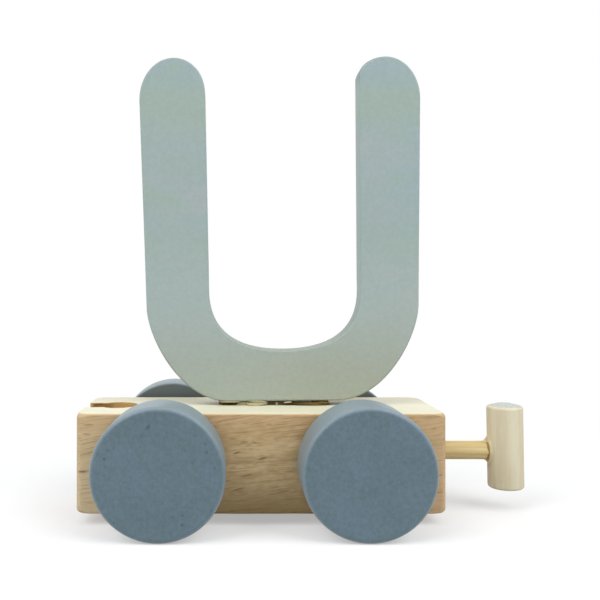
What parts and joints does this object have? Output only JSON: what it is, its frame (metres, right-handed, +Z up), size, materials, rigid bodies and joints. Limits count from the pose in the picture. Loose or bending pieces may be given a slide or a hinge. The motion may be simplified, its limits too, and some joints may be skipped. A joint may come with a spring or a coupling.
{
  "type": "letter train car",
  "caption": "Wooden toy train car: a beech block on turning wheelsets carries an upright painted letter U, with a T-shaped coupling peg at one end and a keyhole socket at the other.",
  "frame": {"origin": "on the floor under the wheels, in the middle of the whole car's box", "axes": "+X along the car towards the coupling peg, +Y across it along the axles to the far side of the picture, +Z up"},
  "size_m": [0.096, 0.0456, 0.0991],
  "materials": {
    "beech_block": "bare sanded beech with fine dark flecks",
    "letter_paint": "satin grey-green paint on wood",
    "wheel_paint": "satin slate-blue paint on wood, with open pores",
    "dowel_wood": "bare sanded dowel",
    "drawbar_wood": "bare fluted dowel, golden from glue",
    "barrel_wood": "bare pale dowel",
    "glue": "dried amber wood glue"
  },
  "bodies": {
    "wagon": {"wagon_block": "beech_block", "letter_u": "letter_paint", "letter_glue": "glue", "letter_pin_socket_side": "dowel_wood", "letter_pin_peg_side": "dowel_wood", "drawbar": "drawbar_wood", "coupler_barrel": "barrel_wood", "coupler_glue": "glue"},
    "socket_wheelset": {"axle_socket_end": "dowel_wood", "wheel_socket_near": "wheel_paint", "wheel_socket_far": "wheel_paint"},
    "peg_wheelset": {"axle_peg_end": "dowel_wood", "wheel_peg_near": "wheel_paint", "wheel_peg_far": "wheel_paint"}
  },
  "joints": [
    {"name": "socket_axle_turn", "type": "hinge", "parent": "wagon", "child": "socket_wheelset", "pos_m": [-0.03027, 0, 0.01297], "axis": [0, 1, 0], "continuous": true},
    {"name": "peg_axle_turn", "type": "hinge", "parent": "wagon", "child": "peg_wheelset", "pos_m": [0.00993, 0, 0.01297], "axis": [0, 1, 0], "continuous": true}
  ]
}
